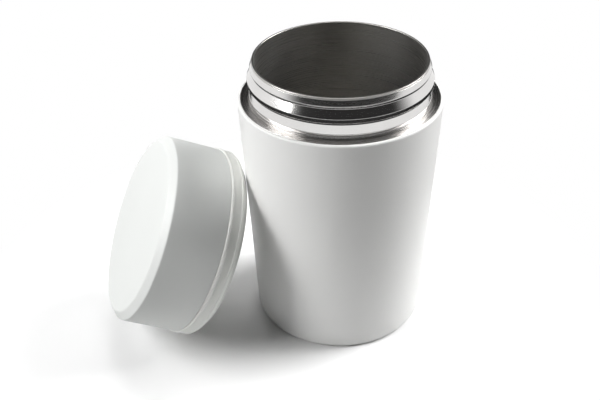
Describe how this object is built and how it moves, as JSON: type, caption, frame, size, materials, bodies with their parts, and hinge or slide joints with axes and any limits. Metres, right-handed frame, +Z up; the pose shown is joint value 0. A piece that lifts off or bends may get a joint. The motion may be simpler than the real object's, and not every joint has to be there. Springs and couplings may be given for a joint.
{
  "type": "insulated food jar",
  "caption": "Double-walled steel food jar with a coated tapered shell, bare beaded neck and open mouth; its screw lid is off and leans against the side.",
  "frame": {"origin": "centre of the jar's foot, on the surface it stands on", "axes": "+Z up the jar's axis; the lid leans on the jar on its -X side; the picture was taken from -Y, above"},
  "size_m": [0.191, 0.127, 0.1579],
  "materials": {
    "white_coat": "satin powder coat",
    "polished_steel": "polished stainless steel",
    "vessel_steel": "satin stainless steel",
    "copper_foil": "thin copper foil",
    "base_steel": "satin stainless steel",
    "port_seal": "fused sealing tablet",
    "getter_pellet": "sintered metal",
    "clip_steel": "plain steel",
    "lid_white": "matt white plastic",
    "liner_plastic": "natural polypropylene",
    "collar_plastic": "milky translucent plastic",
    "foam": "rigid foam",
    "lid_steel": "satin stainless steel",
    "gasket_silicone": "soft silicone"
  },
  "bodies": {
    "jar": {"outer_shell": "white_coat", "neck_ring": "polished_steel", "inner_vessel": "vessel_steel", "copper_foil": "copper_foil", "outer_base": "base_steel", "port_plug": "port_seal", "base_cap": "base_steel", "getter": "getter_pellet", "getter_clip": "clip_steel"},
    "lid": {"lid_cover": "lid_white", "lid_liner": "liner_plastic", "lid_collar": "collar_plastic", "lid_foam": "foam", "lid_disc": "lid_steel"},
    "gasket": {"lid_gasket": "gasket_silicone"}
  },
  "joints": [
    {"name": "lid_away", "type": "slide", "parent": "jar", "child": "lid", "axis": [-0.8085, -0.1317, 0.5736], "range_m": [0, 0.2]},
    {"name": "gasket_pull", "type": "slide", "parent": "lid", "child": "gasket", "axis": [0.8621, 0.2431, -0.4446], "range_m": [0, 0.018]}
  ]
}
